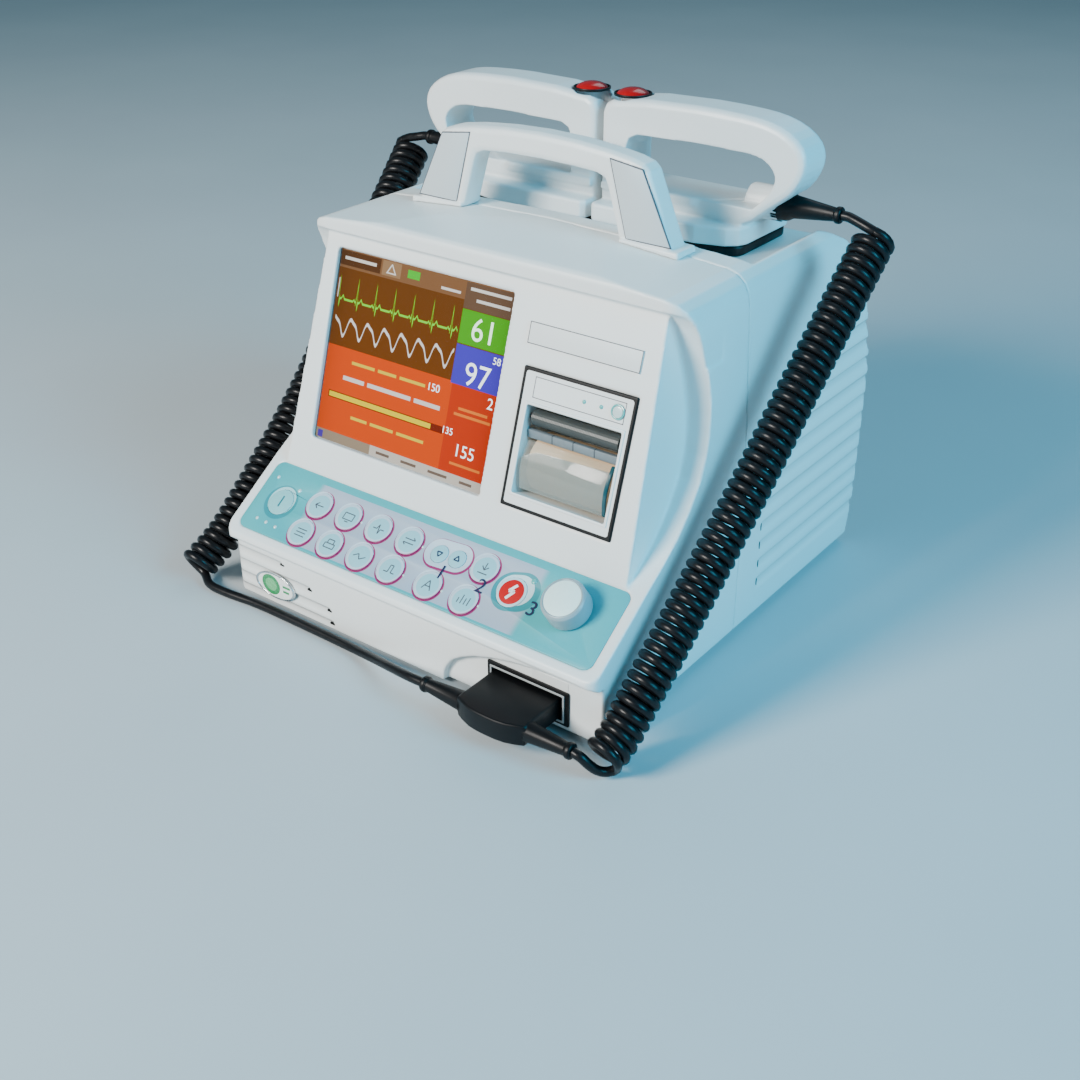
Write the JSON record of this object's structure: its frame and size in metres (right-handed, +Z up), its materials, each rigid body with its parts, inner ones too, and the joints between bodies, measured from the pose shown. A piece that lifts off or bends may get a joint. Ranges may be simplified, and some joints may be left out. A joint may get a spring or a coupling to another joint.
{
  "type": "defibrillator",
  "caption": "Bedside defibrillator with sloped key panel, screen, strip printer, knob, arched carry handle and two lift-off hand paddles on curly cords plugged in at the front.",
  "frame": {"origin": "middle of the footprint at the height of the feet, without the cords", "axes": "+X to the viewer's right, -Y the front with keys and screen, +Z up"},
  "size_m": [0.3858, 0.3591, 0.3185],
  "materials": {
    "case_plastic": "satin moulded",
    "trim_plastic": "satin",
    "foil": "printed foil",
    "key_plastic": "printed foil dome",
    "red_plastic": "gloss",
    "knob_plastic": "satin",
    "spindle_steel": "turned",
    "window_glass": "clear",
    "module_metal": "plain sheet",
    "rubber": "matt",
    "paper": "coated paper",
    "black_plastic": "fine texture",
    "electrode_steel": "brushed",
    "board": "circuit board"
  },
  "bodies": {
    "case": {"front_case": "case_plastic", "rear_case": "case_plastic", "carry_handle": "case_plastic", "handle_panel_right": "trim_plastic", "handle_panel_left": "trim_plastic", "keypad_foil": "foil", "screen_window": "window_glass", "lcd_module": "module_metal", "nameplate": "trim_plastic", "printer_frame": "case_plastic", "badge": "trim_plastic", "paddle_socket": "black_plastic", "paddle_plug": "rubber", "foot_front_right": "rubber", "foot_front_left": "rubber", "foot_rear_right": "rubber", "foot_rear_left": "rubber", "main_board": "board", "shock_capacitor": "module_metal", "battery_pack": "black_plastic", "power_supply": "module_metal", "mains_inlet": "black_plastic", "patient_sockets": "trim_plastic", "right_cord_curl": "rubber", "left_cord_curl": "rubber", "right_cord_top_lead": "rubber", "left_cord_top_lead": "rubber", "right_cord_plug_lead": "rubber", "left_cord_plug_lead": "rubber"},
    "right_paddle": {"right_paddle_shell": "case_plastic", "right_electrode_carrier": "black_plastic", "right_electrode": "electrode_steel", "right_cable_boot": "rubber"},
    "right_paddle_button": {"right_shock_button": "red_plastic"},
    "left_paddle": {"left_paddle_shell": "case_plastic", "left_electrode_carrier": "black_plastic", "left_electrode": "electrode_steel", "left_cable_boot": "rubber"},
    "left_paddle_button": {"left_shock_button": "red_plastic"},
    "power_key_cap": {"power_key": "key_plastic"},
    "back_key_cap": {"back_key": "key_plastic"},
    "monitor_key_cap": {"monitor_key": "key_plastic"},
    "lead_key_cap": {"lead_key": "key_plastic"},
    "sync_key_cap": {"sync_key": "key_plastic"},
    "energy_down_key_cap": {"energy_down_key": "key_plastic"},
    "energy_up_key_cap": {"energy_up_key": "key_plastic"},
    "charge_key_cap": {"charge_key": "key_plastic"},
    "options_key_cap": {"options_key": "key_plastic"},
    "print_key_cap": {"print_key": "key_plastic"},
    "trace_size_key_cap": {"trace_size_key": "key_plastic"},
    "pacer_key_cap": {"pacer_key": "key_plastic"},
    "auto_mode_key_cap": {"auto_mode_key": "key_plastic"},
    "analyse_key_cap": {"analyse_key": "key_plastic"},
    "shock_key_cap": {"shock_key": "red_plastic"},
    "knob_stem": {"knob_spindle": "spindle_steel"},
    "knob_cap": {"knob": "knob_plastic"},
    "printer_flap": {"printer_door": "window_glass"},
    "platen": {"platen_roller": "rubber"},
    "roll": {"paper_roll": "paper"},
    "feed_key": {"feed_button": "trim_plastic"}
  },
  "joints": [
    {"name": "right_paddle_lift", "type": "slide", "parent": "case", "child": "right_paddle", "axis": [0, 0, 1], "range_m": [0, 0.15]},
    {"name": "right_paddle_button_press", "type": "slide", "parent": "right_paddle", "child": "right_paddle_button", "axis": [0, 0, -1], "range_m": [0, 0.003], "stiffness_N_per_m": 1500, "springref_m": -0.0012},
    {"name": "left_paddle_lift", "type": "slide", "parent": "case", "child": "left_paddle", "axis": [0, 0, 1], "range_m": [0, 0.15]},
    {"name": "left_paddle_button_press", "type": "slide", "parent": "left_paddle", "child": "left_paddle_button", "axis": [0, 0, -1], "range_m": [0, 0.003], "stiffness_N_per_m": 1500, "springref_m": -0.0012},
    {"name": "power_key_press", "type": "slide", "parent": "case", "child": "power_key_cap", "axis": [0, 0.5635, -0.8261], "range_m": [0, 0.0004], "stiffness_N_per_m": 4000, "springref_m": -0.0003},
    {"name": "back_key_press", "type": "slide", "parent": "case", "child": "back_key_cap", "axis": [0, 0.5635, -0.8261], "range_m": [0, 0.0004], "stiffness_N_per_m": 4000, "springref_m": -0.0003},
    {"name": "monitor_key_press", "type": "slide", "parent": "case", "child": "monitor_key_cap", "axis": [0, 0.5635, -0.8261], "range_m": [0, 0.0004], "stiffness_N_per_m": 4000, "springref_m": -0.0003},
    {"name": "lead_key_press", "type": "slide", "parent": "case", "child": "lead_key_cap", "axis": [0, 0.5635, -0.8261], "range_m": [0, 0.0004], "stiffness_N_per_m": 4000, "springref_m": -0.0003},
    {"name": "sync_key_press", "type": "slide", "parent": "case", "child": "sync_key_cap", "axis": [0, 0.5635, -0.8261], "range_m": [0, 0.0004], "stiffness_N_per_m": 4000, "springref_m": -0.0003},
    {"name": "energy_down_key_press", "type": "slide", "parent": "case", "child": "energy_down_key_cap", "axis": [0, 0.5635, -0.8261], "range_m": [0, 0.0004], "stiffness_N_per_m": 4000, "springref_m": -0.0003},
    {"name": "energy_up_key_press", "type": "slide", "parent": "case", "child": "energy_up_key_cap", "axis": [0, 0.5635, -0.8261], "range_m": [0, 0.0004], "stiffness_N_per_m": 4000, "springref_m": -0.0003},
    {"name": "charge_key_press", "type": "slide", "parent": "case", "child": "charge_key_cap", "axis": [0, 0.5635, -0.8261], "range_m": [0, 0.0004], "stiffness_N_per_m": 4000, "springref_m": -0.0003},
    {"name": "options_key_press", "type": "slide", "parent": "case", "child": "options_key_cap", "axis": [0, 0.5635, -0.8261], "range_m": [0, 0.0004], "stiffness_N_per_m": 4000, "springref_m": -0.0003},
    {"name": "print_key_press", "type": "slide", "parent": "case", "child": "print_key_cap", "axis": [0, 0.5635, -0.8261], "range_m": [0, 0.0004], "stiffness_N_per_m": 4000, "springref_m": -0.0003},
    {"name": "trace_size_key_press", "type": "slide", "parent": "case", "child": "trace_size_key_cap", "axis": [0, 0.5635, -0.8261], "range_m": [0, 0.0004], "stiffness_N_per_m": 4000, "springref_m": -0.0003},
    {"name": "pacer_key_press", "type": "slide", "parent": "case", "child": "pacer_key_cap", "axis": [0, 0.5635, -0.8261], "range_m": [0, 0.0004], "stiffness_N_per_m": 4000, "springref_m": -0.0003},
    {"name": "auto_mode_key_press", "type": "slide", "parent": "case", "child": "auto_mode_key_cap", "axis": [0, 0.5635, -0.8261], "range_m": [0, 0.0004], "stiffness_N_per_m": 4000, "springref_m": -0.0003},
    {"name": "analyse_key_press", "type": "slide", "parent": "case", "child": "analyse_key_cap", "axis": [0, 0.5635, -0.8261], "range_m": [0, 0.0004], "stiffness_N_per_m": 4000, "springref_m": -0.0003},
    {"name": "shock_key_press", "type": "slide", "parent": "case", "child": "shock_key_cap", "axis": [0, 0.5635, -0.8261], "range_m": [0, 0.0004], "stiffness_N_per_m": 4000, "springref_m": -0.0003},
    {"name": "knob_push", "type": "slide", "parent": "case", "child": "knob_stem", "axis": [0, 0.5635, -0.8261], "range_m": [0, 0.001], "stiffness_N_per_m": 3000, "springref_m": -0.0006},
    {"name": "knob_turn", "type": "hinge", "parent": "knob_stem", "child": "knob_cap", "pos_m": [0.1115, -0.13881, 0.07846], "axis": [0, -0.5635, 0.8261], "continuous": true},
    {"name": "printer_door_hinge", "type": "hinge", "parent": "case", "child": "printer_flap", "pos_m": [0.081, -0.1012, 0.11912], "axis": [1, 0, 0], "range_deg": [0, 85]},
    {"name": "platen_turn", "type": "hinge", "parent": "case", "child": "platen", "pos_m": [0.081, -0.0858, 0.1584], "axis": [1, 0, 0], "continuous": true},
    {"name": "paper_roll_turn", "type": "hinge", "parent": "case", "child": "roll", "pos_m": [0.081, -0.0802, 0.12778], "axis": [1, 0, 0], "continuous": true},
    {"name": "feed_button_press", "type": "slide", "parent": "case", "child": "feed_key", "axis": [0, 0.9532, -0.3024], "range_m": [0, 0.001], "stiffness_N_per_m": 2000, "springref_m": -0.0006}
  ],
  "couplings": [
    {"joint": "platen_turn", "follows": "paper_roll_turn", "ratio": 3.4615}
  ]
}
